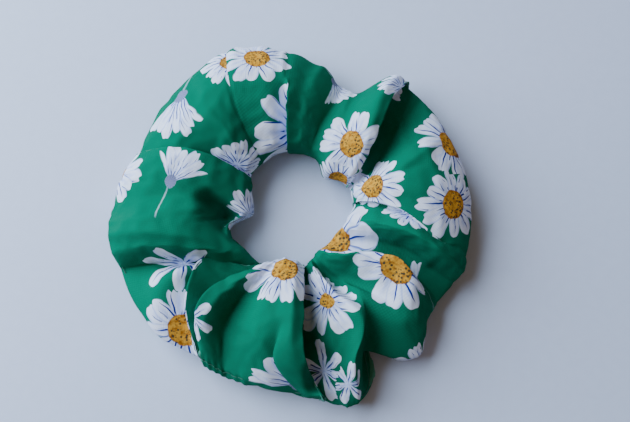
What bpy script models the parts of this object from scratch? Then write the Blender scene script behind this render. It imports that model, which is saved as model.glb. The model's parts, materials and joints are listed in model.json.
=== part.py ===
"""A gathered cloth hair tie: a sewn tube of cotton-weight cloth drawn up on a loop of elastic.

The cloth is one rectangle. Its short ends are joined by a cross seam, its long edges by a seam
along the outer rim with the raw edges turned inside, and the last stretch of that seam, left open
to turn the tube and thread the elastic, is closed by a topstitch. The elastic draws the tube up
into pleats that are deep at the hole and open out towards the rim.

Metres, +Z up. The tie lies flat on z = 0 with the middle of its box on the Z axis.
"""
import math

import bmesh
import bpy
from mathutils import Vector

MM = 0.001

# Driving sizes
HOLE_RADIUS = 18.7 * MM         # mean radius of the hole that the hair goes through
TUBE_WIDTH = 38.8 * MM          # flat width of the sewn tube, from the hole to the rim
EDGE_HEIGHT = 6.0 * MM          # mean height at which the tube's two edges lie
CLOTH_THICKNESS = 0.6 * MM      # two fibres' depth of woven cloth with its nap and finish
SEAM_ALLOWANCE = 6.0 * MM       # raw edge turned inside along the rim
SEAM_INSET = 1.2 * MM           # from the rim in to the line of the long seam's stitches
ELASTIC_WIDTH = 5.0 * MM
ELASTIC_THICKNESS = 1.0 * MM
ELASTIC_LIFT = 3.4 * MM         # the elastic's lower edge above the table
UNDER_PLEAT = 1.2 * MM          # how far each valley draws the underside up off the table
ELASTIC_OVERLAP = 12.0 * MM     # length over which the elastic's two ends are sewn together
THREAD_DIAMETER = 0.3 * MM
CLEARANCE = 0.35 * MM           # running gap between one piece and the next
STITCH_LENGTH = 2.8 * MM
STITCH_ARCH = 0.25 * MM         # how far the middle of each stitch lifts off the cloth
TOPSTITCH_INSET = 2.2 * MM      # from the rim in to the line of the topstitch

# How full the tube is: 1 gives an ellipse, less gives a boxier section
FULLNESS = 0.62
SOLE_SPREAD = 1.15              # over 1, so that the underside rests on a flat band
VALLEY_SLOPE = 1.3              # how steeply a pleat's flank runs into a valley, 0 on a ridge
EVEN_FROM = 1.6                 # how soon below the edges the pleats are evened out

# How much the tube's edges rise with a fold that is higher than the mean there
HOLE_EDGE_RISE = 0.25
RIM_EDGE_RISE = 0.35
MEAN_HOLE_HEIGHT = 15.0 * MM
MEAN_RIM_HEIGHT = 12.0 * MM

# How finely the cloth is divided
COLUMNS_PER_FOLD = 3
POINTS_ROUND_TUBE = 19
LIP_ANGLE = math.radians(1)     # half the opening of the slit, round the section

# The gap in the rim seam, degrees round the ring
CLOSING_START = 236
CLOSING_END = 254

# Each ridge and valley of the pleats, anticlockwise from the back: whether it is a ridge, then
# its azimuth in degrees at four stations from the hole to the rim; how far in millimetres it
# stands out from the mean hole and the mean rim; and its height in millimetres at the stations.
FOLDS = (
    ("back valley", False, (84, 84, 83.5, 82.5), (0.5, -5.0), (19, 16, 13, 10)),
    ("back tuck", True, (100, 96.5, 95, 93), (1.1, -3.6), (21, 22, 21, 16)),
    ("back tuck's pocket", False, (103, 99, 97.5, 95.5), (2.1, -3.2), (14, 16, 16, 14)),
    ("lobe right of the seam", True, (112, 108, 105, 103), (2.1, -1.5), (19, 21, 20, 16)),
    ("cross seam", False, (125, 122, 116, 112), (1.6, 1.2), (12, 18, 19, 15)),
    ("broad back left lobe", True, (135, 134, 134, 135), (1.5, -0.6), (18, 22, 22, 16)),
    ("long crease", False, (151, 150, 154, 158.5), (0.9, -1.3), (12, 13, 16, 12)),
    ("narrow lobe's edge", True, (154, 153, 156.5, 161.5), (0.2, -0.8), (16, 19, 19, 14)),
    ("narrow left lobe", True, (162, 162, 165, 170), (-1.5, 1.6), (15, 19, 19, 15)),
    ("left crease", False, (176, 172, 174, 176.5), (-1.0, 2.4), (11, 13, 16, 13)),
    ("left pocket", False, (186, 184, 184, 185), (0.0, 3.4), (11, 14, 19, 15)),
    ("left lobe", True, (200, 196, 192, 190.5), (3.0, 4.3), (17, 22, 22, 17)),
    ("left lobe's flank", True, (213, 204, 199, 199), (2.6, 4.3), (17, 21, 20, 15)),
    ("front left valley", False, (223, 213, 207, 210), (2.5, 3.6), (11, 12, 12, 9)),
    ("small tuck", True, (228, 218, 213.5, 220), (2.5, 2.8), (12, 14, 18, 13)),
    ("front left crease", False, (232, 225.5, 222, 229), (1.6, 2.0), (11, 11, 13, 11)),
    ("closing lobe's edge", True, (235, 228.5, 225.5, 232.5), (1.2, 1.6), (18, 20, 20, 14)),
    ("closing lobe", True, (241, 235, 235, 240), (0.6, 1.0), (20, 21, 20, 13)),
    ("soft front dip", False, (248, 243, 243, 250), (-1.5, 0.6), (20, 19, 16, 11)),
    ("broad front lobe", True, (256, 256, 257, 260), (-2.9, 0.4), (20, 22, 21, 14)),
    ("front ridge", True, (265, 265, 265.5, 267), (-2.4, 1.0), (20, 24, 24, 18)),
    ("front ridge's edge", True, (270, 270.5, 270.8, 273.5), (-0.8, 3.0), (17, 22, 23, 18)),
    ("front crease", False, (274.5, 273.5, 273.8, 276.5), (-0.8, 3.6), (11, 11, 10, 9)),
    ("crease's floor", False, (279, 277.5, 278, 280.5), (-1.0, 5.8), (11, 11, 11, 9)),
    ("front flap", True, (284, 287, 286, 285.5), (-1.5, 7.0), (14, 19, 20, 16)),
    ("flap's rolled edge", True, (288, 292.5, 290, 289.5), (-2.0, 6.4), (13, 18, 19, 15)),
    ("front right notch", False, (293, 302, 299, 297), (-2.8, -9.0), (11, 14, 12, 8)),
    ("front right tip", True, (298, 311, 310, 309), (-3.5, 3.6), (12, 17, 17, 9)),
    ("front right ridge", True, (304, 324.5, 323, 319.5), (-5.0, -3.6), (17, 23, 23, 16)),
    ("right valley", False, (315, 331, 329.5, 325), (-6.0, -4.0), (11, 11, 9, 8)),
    ("right band", True, (337, 346, 343, 341), (-3.0, -0.8), (16, 20, 20, 15)),
    ("right crease", False, (364, 356, 349.5, 348), (-0.7, -1.6), (11, 13, 16, 14)),
    ("right lobe's edge", True, (367.5, 359, 352, 350.5), (-0.8, -1.6), (17, 20, 20, 15)),
    ("right lobe, front", True, (372, 370, 366, 364), (-0.9, -1.8), (18, 22, 22, 18)),
    ("right lobe, back", True, (376.5, 383, 385, 387), (-1.0, -2.4), (18, 21, 21, 17)),
    ("back right valley", False, (380.5, 394, 401, 405), (-0.5, -2.0), (13, 12, 12, 11)),
    ("back right ridge", True, (385, 399, 407, 411), (-1.1, -1.6), (17, 22, 24, 19)),
    ("back notch", False, (411, 421, 425, 425), (-5.3, -12.0), (18, 17, 14, 10)),
    ("back lobe", True, (432, 433, 433, 433), (-3.7, -8.6), (19, 17, 13, 11)),
)
CROSS_SEAM = [fold[0] for fold in FOLDS].index("cross seam")

# Worked out from the sizes above
TUBE_MIDDLE = HOLE_RADIUS + TUBE_WIDTH / 2
SLIT = THREAD_DIAMETER + 2 * CLEARANCE
ELASTIC_TOP = ELASTIC_LIFT + ELASTIC_WIDTH
COLUMNS = COLUMNS_PER_FOLD * len(FOLDS)
THREAD_OFF = CLEARANCE + THREAD_DIAMETER / 2

# Shares of a fold's own and its neighbours' azimuth that even the pleats out underneath
EVENING = ((-2, 0.12), (-1, 0.22), (0, 0.32), (1, 0.22), (2, 0.12))


def through(values, share):
    """The smooth curve through values at equally spaced stations, share running from 0 to 1."""
    stations = [index / (len(values) - 1) for index in range(len(values))]
    total = 0.0
    for here, value in zip(stations, values):
        weight = 1.0
        for there in stations:
            if there != here:
                weight *= (share - there) / (here - there)
        total += weight * value
    return total


def blend(start, end, share):
    return start + (end - start) * share


def ease(share):
    return share * share * (3 - 2 * share)


def fold_ease(share, from_ridge, to_ridge):
    """Share of the way from one fold to the next: flat over a ridge, steep into a valley."""
    slope_start = 0.0 if from_ridge else VALLEY_SLOPE
    slope_end = 0.0 if to_ridge else VALLEY_SLOPE
    return ((share ** 3 - 2 * share ** 2 + share) * slope_start
            + ease(share)
            + (share ** 3 - share ** 2) * slope_end)


def mean_azimuth(place):
    """A fold line's mean azimuth in degrees, at a place counted in folds round the ring."""
    index = math.floor(place)
    ends = [through(FOLDS[row % len(FOLDS)][2], 0.5) + 360 * (row // len(FOLDS))
            for row in (index, index + 1)]
    return blend(*ends, place - index)


def gathered(place, across, up):
    """A point of the pleated tube about the ring's axis.

    place counts the folds round the ring, across runs from -1 at the hole to 1 at the rim, and
    up from -1 underneath to 1 on top.
    """
    index = int(place) % len(FOLDS)
    share = place - int(place)
    following = (index + 1) % len(FOLDS)
    _, ridge, azimuths, reaches, heights = FOLDS[index]
    _, next_ridge, next_azimuths, next_reaches, next_heights = FOLDS[following]
    turn = 360 if following == 0 else 0
    outward = (1 + across) / 2

    azimuth = blend(through(azimuths, outward), through(next_azimuths, outward) + turn, share)
    if up < 0:
        even = sum(part * mean_azimuth(index + share + shift) for shift, part in EVENING)
        azimuth = blend(azimuth, even, ease(min(1.0, -EVEN_FROM * up)))
    azimuth = math.radians(azimuth)
    soft = ease(share)
    hole = HOLE_RADIUS + blend(reaches[0], next_reaches[0], soft) * MM
    rim = HOLE_RADIUS + TUBE_WIDTH + blend(reaches[1], next_reaches[1], soft) * MM
    radius = blend(hole, rim, outward)

    climb = fold_ease(share, ridge, next_ridge)
    at_hole = blend(heights[0], next_heights[0], climb) * MM - MEAN_HOLE_HEIGHT
    at_rim = blend(heights[-1], next_heights[-1], climb) * MM - MEAN_RIM_HEIGHT
    edge = EDGE_HEIGHT + blend(HOLE_EDGE_RISE * at_hole, RIM_EDGE_RISE * at_rim, outward)
    swell = abs(up) ** FULLNESS
    if up > 0:
        top = blend(through(heights, outward), through(next_heights, outward), climb) * MM
        height = (top - edge) * swell
    else:
        drawn_up = UNDER_PLEAT * (1 - blend(ridge, next_ridge, climb))
        height = (drawn_up - edge) * min(1.0, SOLE_SPREAD * swell)
    if across > 0 and abs(height) < SLIT / 2:
        height = math.copysign(SLIT / 2, up)
    return radius * math.cos(azimuth), radius * math.sin(azimuth), edge + height


def on_tube(place, angle):
    """A point of the cloth's outer face, at an angle from the rim over the top."""
    return Vector(gathered(place, math.cos(angle), math.sin(angle)))


def off_tube(place, angle, distance):
    """A point off the cloth's outer face, outwards or, where distance is negative, inwards."""
    step = 0.02
    along = on_tube(place + step, angle) - on_tube(place - step, angle)
    around = on_tube(place, angle + step) - on_tube(place, angle - step)
    return on_tube(place, angle) + along.cross(around).normalized() * distance


def tube_angles():
    """The angles of the section's points, from the rim underneath, over the top, to the rim."""
    steps = POINTS_ROUND_TUBE - 1
    return [blend(2 * math.pi - LIP_ANGLE, LIP_ANGLE, index / steps)
            for index in range(steps + 1)]


def rim_place(degrees):
    """The place round the ring where the rim has this azimuth."""
    for index, (fold, following) in enumerate(zip(FOLDS, FOLDS[1:])):
        start, end = fold[2][-1], following[2][-1]
        if start <= degrees < end:
            return index + (degrees - start) / (end - start)
    raise ValueError(f"no fold at {degrees} degrees")


def elastic_radius():
    """The elastic's inner radius: it lies close to the hole, clear of every pleat's wall."""
    low = ELASTIC_LIFT - CLEARANCE - CLOTH_THICKNESS
    high = ELASTIC_TOP + CLEARANCE + CLOTH_THICKNESS
    widest = 0.0
    for column in range(COLUMNS):
        for degree in range(90, 271):
            point = on_tube(column / COLUMNS_PER_FOLD, math.radians(degree))
            if low < point.z < high:
                widest = max(widest, point.xy.length)
    return widest + CLOTH_THICKNESS + 2 * CLEARANCE + THREAD_DIAMETER


# ---- materials ----------------------------------------------------------------------------

def material(name, colour, roughness):
    finish = bpy.data.materials.new(name)
    finish.use_nodes = True
    shader = finish.node_tree.nodes["Principled BSDF"]
    shader.inputs["Base Color"].default_value = (*colour, 1.0)
    shader.inputs["Roughness"].default_value = roughness
    shader.inputs["Metallic"].default_value = 0.0
    return finish


# ---- pieces -------------------------------------------------------------------------------

def place_piece(name, data, finish, collection, frame):
    piece = bpy.data.objects.new(name, data)
    data.materials.append(finish)
    piece.parent = frame
    collection.objects.link(piece)
    return piece


def cover_mesh():
    """The cloth as one open sheet: a plain round tube, spun about Z, then drawn into its folds.

    The section starts and ends with the two seam allowances, which run inwards side by side
    from a slit along the rim.
    """
    half_width = TUBE_WIDTH / 2
    section = [(math.cos(angle), math.sin(angle)) for angle in tube_angles()]
    raw_edge = 1 - SEAM_ALLOWANCE / half_width
    section = [(raw_edge, section[0][1])] + section + [(raw_edge, section[-1][1])]

    sheet = bmesh.new()
    points = [sheet.verts.new((TUBE_MIDDLE + across * half_width, 0, up * half_width))
              for across, up in section]
    lines = [sheet.edges.new(pair) for pair in zip(points, points[1:])]
    bmesh.ops.spin(sheet, geom=points + lines, cent=(0, 0, 0), axis=(0, 0, 1),
                   angle=2 * math.pi, steps=COLUMNS, use_merge=True)
    for vert in sheet.verts:
        turn = math.atan2(vert.co.y, vert.co.x) % (2 * math.pi)
        place = turn / (2 * math.pi) * len(FOLDS)
        across = (vert.co.xy.length - TUBE_MIDDLE) / half_width
        vert.co = gathered(place, across, vert.co.z / half_width)
    mesh = bpy.data.meshes.new("fabric_cover")
    sheet.to_mesh(mesh)
    sheet.free()
    mesh.shade_smooth()
    return mesh


def fabric_cover(mesh, finish, collection, frame):
    """The sewn and gathered cloth, with its thickness on the inside of the tube."""
    cover = place_piece("fabric_cover", mesh, finish, collection, frame)
    wall = cover.modifiers.new("cloth thickness", "SOLIDIFY")
    wall.thickness = CLOTH_THICKNESS
    wall.offset = -1
    return cover


def thread(name, points, finish, collection, frame):
    """A thread laid along a line of points, with closed ends."""
    curve = bpy.data.curves.new(name, "CURVE")
    curve.dimensions = "3D"
    curve.bevel_depth = THREAD_DIAMETER / 2
    curve.bevel_resolution = 2
    curve.use_fill_caps = True
    line = curve.splines.new("POLY")
    line.points.add(len(points) - 1)
    for stop, point in zip(line.points, points):
        stop.co = (*point, 1)
    return place_piece(name, curve, finish, collection, frame)


def elastic_band(radius, finish, collection, frame):
    """A woven elastic strip on edge, bent into a ring with its ends lapped."""
    middle = radius + ELASTIC_THICKNESS / 2
    step_out = ELASTIC_THICKNESS + CLEARANCE
    lap = ELASTIC_OVERLAP / middle
    rise = math.radians(20)
    steps = 72
    curve = bpy.data.curves.new("elastic_band", "CURVE")
    curve.dimensions = "3D"
    curve.extrude = ELASTIC_WIDTH / 2
    line = curve.splines.new("POLY")
    line.points.add(steps)
    for index, stop in enumerate(line.points):
        angle = index / steps * (2 * math.pi + lap)
        out = min(1.0, max(0.0, (angle - 2 * math.pi + rise) / rise))
        bend = middle + step_out * out * out * (3 - 2 * out)
        stop.co = (bend * math.cos(angle), bend * math.sin(angle),
                   ELASTIC_LIFT + ELASTIC_WIDTH / 2, 1)
    band = place_piece("elastic_band", curve, finish, collection, frame)
    wall = band.modifiers.new("elastic thickness", "SOLIDIFY")
    wall.thickness = ELASTIC_THICKNESS
    wall.offset = 0
    return band


def join_stitch_points(radius):
    """A zigzag over the outer face of the elastic's lapped ends."""
    reach = radius + 2 * ELASTIC_THICKNESS + CLEARANCE + THREAD_OFF
    lap = ELASTIC_OVERLAP / reach
    turns = 8
    margin = ELASTIC_WIDTH / 5
    points = []
    for index in range(turns + 1):
        angle = lap * (0.15 + 0.7 * index / turns)
        height = ELASTIC_LIFT + (margin if index % 2 else ELASTIC_WIDTH - margin)
        points.append((reach * math.cos(angle), reach * math.sin(angle), height))
    return points


def long_seam_points():
    """The rim seam's stitching, in the slit between the allowances, but for the closed gap."""
    across = 1 - 2 * SEAM_INSET / TUBE_WIDTH
    first = math.ceil(rim_place(CLOSING_END) * COLUMNS_PER_FOLD)
    last = math.floor((rim_place(CLOSING_START) + len(FOLDS)) * COLUMNS_PER_FOLD)
    hair = 1e-6
    points = []
    for column in range(first, last + 1):
        place = column / COLUMNS_PER_FOLD % len(FOLDS)
        walls = [Vector(gathered(place, across, up)) for up in (-hair, hair)]
        points.append((walls[0] + walls[1]) / 2)
    return points


def cross_seam_points():
    """The cross seam's stitching, on the inside of the cloth all round the tube."""
    return [off_tube(CROSS_SEAM, angle, -CLOTH_THICKNESS - THREAD_OFF)
            for angle in tube_angles()[2:-2]]


def topstitch_points():
    """The topstitch that closes the gap, each stitch a low arch on the cloth near the rim."""
    angle = math.acos(1 - 2 * TOPSTITCH_INSET / TUBE_WIDTH)
    start, end = rim_place(CLOSING_START), rim_place(CLOSING_END)
    rim = HOLE_RADIUS + TUBE_WIDTH
    stitches = round(math.radians(CLOSING_END - CLOSING_START) * rim / STITCH_LENGTH)
    points = []
    for index in range(2 * stitches + 1):
        lift = THREAD_OFF + (STITCH_ARCH if index % 2 else 0)
        points.append(off_tube(blend(start, end, index / (2 * stitches)), angle, lift))
    return points


def main():
    for item in list(bpy.data.objects):
        bpy.data.objects.remove(item)
    collection = bpy.data.collections.new("scrunchie")
    bpy.context.scene.collection.children.link(collection)

    green_cloth = material("green printed cloth", (0.006, 0.235, 0.125), 0.55)
    white_elastic = material("white elastic", (0.78, 0.78, 0.75), 0.8)
    green_thread = material("green thread", (0.008, 0.16, 0.09), 0.5)
    white_thread = material("white thread", (0.8, 0.8, 0.78), 0.5)

    cloth = cover_mesh()
    middle = [(min(vert.co[axis] for vert in cloth.vertices)
               + max(vert.co[axis] for vert in cloth.vertices)) / 2 for axis in (0, 1)]
    frame = bpy.data.objects.new("ring_axis", None)
    frame.location = (-middle[0], -middle[1], 0)
    collection.objects.link(frame)

    fabric_cover(cloth, green_cloth, collection, frame)
    radius = elastic_radius()
    elastic_band(radius, white_elastic, collection, frame)
    thread("elastic_join_stitches", join_stitch_points(radius), white_thread, collection, frame)
    thread("long_seam_thread", long_seam_points(), green_thread, collection, frame)
    thread("cross_seam_thread", cross_seam_points(), green_thread, collection, frame)
    thread("closing_topstitch", topstitch_points(), green_thread, collection, frame)


main()
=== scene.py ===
# %% [markdown]
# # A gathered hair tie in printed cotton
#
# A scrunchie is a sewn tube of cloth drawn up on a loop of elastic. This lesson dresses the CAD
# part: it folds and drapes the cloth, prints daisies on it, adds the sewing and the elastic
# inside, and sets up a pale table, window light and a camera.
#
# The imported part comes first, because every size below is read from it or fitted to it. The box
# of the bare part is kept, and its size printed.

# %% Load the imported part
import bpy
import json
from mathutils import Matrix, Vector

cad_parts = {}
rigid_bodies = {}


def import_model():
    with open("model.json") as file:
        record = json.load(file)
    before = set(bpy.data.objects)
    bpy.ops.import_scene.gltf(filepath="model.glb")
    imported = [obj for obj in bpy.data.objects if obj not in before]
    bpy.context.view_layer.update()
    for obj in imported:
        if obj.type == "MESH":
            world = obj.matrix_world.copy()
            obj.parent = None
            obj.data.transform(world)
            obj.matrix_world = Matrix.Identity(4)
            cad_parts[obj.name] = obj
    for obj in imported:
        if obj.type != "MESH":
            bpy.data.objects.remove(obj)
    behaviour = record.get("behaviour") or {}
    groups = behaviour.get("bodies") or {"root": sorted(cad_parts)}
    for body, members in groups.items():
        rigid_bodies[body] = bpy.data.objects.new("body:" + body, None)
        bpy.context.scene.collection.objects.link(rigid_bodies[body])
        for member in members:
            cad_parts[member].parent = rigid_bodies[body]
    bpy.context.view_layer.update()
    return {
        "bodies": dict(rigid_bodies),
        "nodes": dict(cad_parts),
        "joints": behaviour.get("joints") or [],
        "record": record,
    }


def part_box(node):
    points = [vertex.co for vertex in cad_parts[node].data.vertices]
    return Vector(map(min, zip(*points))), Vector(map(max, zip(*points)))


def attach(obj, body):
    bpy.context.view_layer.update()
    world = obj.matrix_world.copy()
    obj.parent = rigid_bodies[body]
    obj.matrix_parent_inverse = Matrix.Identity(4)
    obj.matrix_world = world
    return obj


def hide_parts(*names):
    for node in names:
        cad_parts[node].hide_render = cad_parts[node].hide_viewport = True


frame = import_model()

import heapq
import json
import math
import random

import bmesh
import bpy
import numpy as np
from mathutils import Matrix, Vector
from mathutils.bvhtree import BVHTree

MM = 0.001
cover_low, cover_high = (Vector(corner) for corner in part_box("fabric_cover"))
elastic_low, elastic_high = (Vector(corner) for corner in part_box("elastic_band"))
print("cover", [round(side / MM, 1) for side in cover_high - cover_low], "mm")

# %% [markdown]
# ## The folds, as a table
#
# Gathers look random, but each pleat starts at the elastic, runs outwards and softens towards
# the rim. One row describes one ridge or valley, anticlockwise from the back, by its direction
# and height at four or five stations, evenly spaced from the hole to the rim, and by how far the
# cloth stands out from the mean hole and rim there. Where one row's direction passes its
# neighbour's, the cloth laps over itself, which is what gives a crisp dark line instead of a
# soft dip.
#
# A displacement texture would be less work, but it can't lap, and it can't follow a real tie.

# %% The fold table
ELASTIC_SPAN = elastic_high.y - elastic_low.y
RING_CENTRE = Vector((elastic_low.x + ELASTIC_SPAN / 2, elastic_low.y + ELASTIC_SPAN / 2, 0))
HOLE_RADIUS = 18.7 * MM
RIM_RADIUS = 57.5 * MM
EDGE_HEIGHT = 6.0 * MM           # where the tube's top and bottom meet, at the hole and the rim
UNDER_PLEAT = 1.2 * MM           # how far a valley draws the underside up
TABLE_GAP = 1.0 * MM

# name, is it a ridge, azimuth in degrees, reach beyond hole and rim in mm, height in mm
FOLDS = (
    ("back valley", False, (78.5, 75.5, 72, 71), (0.3, -12.5), (15, 12, 10, 8)),
    ("back slope", True, (90, 89.5, 86.5, 82), (0.8, -6.9), (20, 18.5, 16.5, 12)),
    ("back tuck", True, (102, 98, 94.5, 93), (1.1, -3.6), (21, 22, 19, 14)),
    ("under the back tuck", False, (98.5, 95, 97, 96), (2.1, -3.0), (12, 13, 19.5, 15)),
    ("lobe right of the seam", True, (112, 108, 105, 103), (2.1, -0.3), (19, 20, 20, 16)),
    ("cross seam", False, (126, 123, 117.5, 112.5), (1.6, 2.0), (14, 19.5, 20.6, 15.8)),
    ("back left lobe", True, (135, 134, 134, 135), (1.5, 0.0), (18, 22, 22, 16)),
    ("long crease", False, (148, 151.5, 156.5, 161.5), (0.9, -1.3), (12, 13, 16, 12)),
    ("narrow lobe's edge", True, (145, 149.5, 154.5, 160.5), (0.2, -0.8), (15, 19, 19, 14)),
    ("narrow lobe", True, (152, 159, 165, 170), (-1.5, 1.6), (15, 19, 19, 15)),
    ("narrow lobe's front", True, (170, 171, 172, 172), (-3.5, 2.2), (13.5, 18, 18.5, 15)),
    ("left crease", False, (174, 174.5, 176.5, 177.5), (-4.0, 2.4), (13, 16.5, 18.3, 17, 14.6)),
    ("left pocket", False, (184, 183, 182, 181.5, 181.5), (-4.0, 3.4), (14, 19, 21, 19.5, 15)),
    ("pocket's mouth", False, (194, 190.5, 188, 185.5, 184.5), (4.4, 4.0), (17, 22, 22.5, 21, 16)),
    ("left lobe", True, (204, 196, 190, 187.5), (4.6, 4.3), (20, 22.5, 22, 17)),
    ("left lobe's flank", True, (217, 203.5, 195.5, 192.5), (2.6, 4.3), (18, 21, 20, 15)),
    ("front left valley", False, (234, 210.5, 201.5, 198.5), (2.5, 3.4), (11, 9, 7, 6)),
    ("front left lobe", True, (235, 212, 210.5, 220), (2.5, 2.8), (11, 12.5, 15.5, 12)),
    ("under the small tuck", False, (236, 212, 221, 235), (2.5, -0.5), (11, 11, 11, 8)),
    ("small tuck", True, (235, 209, 218.5, 236), (2.5, -1.2), (12, 14, 18, 12)),
    ("front left crease", False, (240, 229, 228.5, 240), (1.6, -1.2), (11, 11, 12, 8)),
    ("closing lobe's edge", True, (238, 225.5, 225.5, 237.5), (1.2, -0.6), (17, 19.5, 20.5, 13)),
    ("closing lobe", True, (241, 231, 230, 239.5), (0.6, 0.6), (20, 20.5, 20, 13)),
    ("soft front dip", False, (249, 240, 240, 247), (-1.5, 0.6), (19, 14, 11.5, 9)),
    ("broad front lobe", True, (256, 256, 257, 260), (-2.9, 0.4), (20, 22, 21, 14)),
    ("under the front ridge", False, (260, 261, 262, 263.5, 273.5), (-2.7, 0.8),
     (20, 22.5, 22.5, 17, 8)),
    ("front ridge's left edge", True, (262, 263, 263.5, 260.5, 271), (-2.6, 1.4),
     (20, 23, 23.5, 20, 13)),
    ("front ridge", True, (267, 267, 267.5, 273), (-2.4, 2.2), (20, 24, 24, 17)),
    ("front ridge's edge", True, (276, 273.7, 273, 278), (-0.5, 3.2), (18, 22, 23, 18)),
    ("front crease", False, (273.5, 271.5, 270.5, 276.5), (-0.5, 2.8), (10, 9, 8, 8)),
    ("crease floor", False, (278, 276.5, 276.5, 282), (-1.0, 5.8), (11, 10, 9, 8)),
    ("front roll's side", True, (279.5, 285, 287, 284, 284), (-1.5, 7.0), (15, 15, 16, 14, 13)),
    ("front roll", True, (282, 292, 298.5, 290, 287), (-2.0, 6.6), (17, 18, 20, 19, 13)),
    ("under the front roll", False, (284.5, 294.5, 302, 291.5, 290), (-2.5, 3.0),
     (14, 10, 16.5, 14.5, 8)),
    ("front notch", False, (287, 296, 304.5, 303, 292.5), (-2.8, -9.8), (14, 9, 15, 15.5, 9)),
    ("front right tip", True, (290.5, 302, 311, 311, 309), (-3.8, 2.8), (17, 11, 14.5, 16, 10)),
    ("front right ridge", True, (295, 321, 329.5, 326, 321), (-4.2, -3.8),
     (18, 21, 23, 22, 15)),
    ("right valley", False, (305, 325, 332, 330, 327), (-4.6, -4.0), (11, 9.8, 8, 7.5, 6.5)),
    ("band's foot", False, (326, 336, 339.5, 336.5, 334), (-4.8, -2.6), (11.5, 9.8, 8.5, 8, 7.5)),
    ("right band", True, (350, 347, 344.5, 341.5, 340), (-3.0, -0.8), (17, 20.5, 22, 21.5, 16)),
    ("right crease", False, (369, 359, 347, 345), (-0.5, -1.6), (12, 15, 18.5, 15)),
    ("right lobe's edge", True, (366.5, 356.5, 346, 348), (-0.8, -1.6), (17, 20, 19.5, 15.5)),
    ("right lobe, front", True, (373, 370, 366, 364), (-0.9, -1.8), (18, 22, 22, 18)),
    ("right lobe, back", True, (375, 378, 381, 385), (-1.0, -2.4), (18, 21, 21, 17)),
    ("back right valley", False, (383, 391, 398, 403), (-0.5, -2.0), (12, 11, 12, 11)),
    ("under the rolled ridge", False, (389, 402.5, 411, 410.5), (-0.7, -1.8), (13, 11, 13, 12)),
    ("rolled ridge's edge", True, (385.5, 398.5, 407.5, 409.5), (-0.8, -1.6), (16, 20, 23, 18)),
    ("back right ridge", True, (391, 404, 412, 413), (-1.5, -1.8), (18, 22, 24, 19)),
    ("back notch", True, (412, 421, 424, 425.5), (-4.8, -12.8), (18, 17.5, 15, 10)),
)
print(len(FOLDS), "ridges and valleys")

# %% [markdown]
# ## From the table to a surface
#
# A point of the cloth has two coordinates: its column round the ring, and its angle round the
# tube, 0 at the rim, a quarter turn on top and half a turn at the hole. The columns are shared
# out by length along the folds, so the cloth is as finely divided on a steep flank as on a
# gentle one. Underneath, where the tie rests on the table, the folds are evened out.

# %% Helpers that read the table
COLUMNS = 264
TOP_POINTS = 30                  # points of the section over the top, and under the tube
SOLE_POINTS = 14
FULLNESS = 0.62                  # 1 makes an elliptical section, less a boxier one
SOLE_SPREAD = 1.15               # over 1, so that the underside rests on a flat band
EASE_IN_VALLEY = 1.3             # slope with which a flank runs into a valley
EDGE_FOLLOWS_HOLE = 0.25         # how much the edge rises with a fold's height at the hole
EDGE_FOLLOWS_RIM = 0.35          # and at the rim
MEAN_HOLE_HEIGHT = 15 * MM
MEAN_RIM_HEIGHT = 12 * MM
SMALLEST_STEP = 2.4 * MM         # least length of cloth from one row of the table to the next


def blend(start, end, share):
    return start + (end - start) * share


def smooth(share):
    return share * share * (3 - 2 * share)


def along_stations(values, share):
    """The smooth curve through values at equally spaced stations, share from 0 to 1."""
    place = share * (len(values) - 1)
    start = min(int(place), len(values) - 2)
    part = place - start
    first, second = values[start], values[start + 1]
    before = values[start - 1] if start else 2 * first - second
    after = values[start + 2] if start + 2 < len(values) else 2 * second - first
    slope = second - before
    bend = 2 * before - 5 * first + 4 * second - after
    twist = 3 * (first - second) + after - before
    return first + part * (slope + part * (bend + part * twist)) / 2


def flank(share, from_ridge, to_ridge):
    """Share of the climb from one row to the next: flat over a ridge, steep into a valley."""
    start = 0.0 if from_ridge else EASE_IN_VALLEY
    end = 0.0 if to_ridge else EASE_IN_VALLEY
    return (start * (share ** 3 - 2 * share ** 2 + share)
            + 3 * share ** 2 - 2 * share ** 3
            + end * (share ** 3 - share ** 2))


def fold_middle(index):
    """The middle of a fold's line, in the air above the ring."""
    _, _, azimuths, _, heights = FOLDS[index % len(FOLDS)]
    turn = 360 if index >= len(FOLDS) else 0
    azimuth = math.radians(along_stations(azimuths, 0.5) + turn)
    radius = (HOLE_RADIUS + RIM_RADIUS) / 2
    return Vector((radius * math.cos(azimuth), radius * math.sin(azimuth),
                   along_stations(heights, 0.5) * MM))


def share_columns():
    """For each column, the row of the table before it and the share of the way to the next."""
    lengths = [max(SMALLEST_STEP, (fold_middle(index + 1) - fold_middle(index)).length)
               for index in range(len(FOLDS))]
    ends = np.cumsum(lengths)
    shares = []
    for column in range(COLUMNS):
        reach = column / COLUMNS * ends[-1]
        row = int(np.searchsorted(ends, reach, side="right"))
        shares.append((row, 1 - (ends[row] - reach) / lengths[row]))
    return shares, ends[-1]


COLUMN_SHARES, RING_LENGTH = share_columns()
FOLD_COLUMNS = {fold[0]: next(column for column, (row, _) in enumerate(COLUMN_SHARES)
                              if row == number) for number, fold in enumerate(FOLDS)}
print("cloth round the middle of the tube", round(RING_LENGTH / MM), "mm")

# %% The azimuth of each column, evened out for the underside
SMOOTHING = 9.0                  # columns over which the underside evens the folds out


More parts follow.
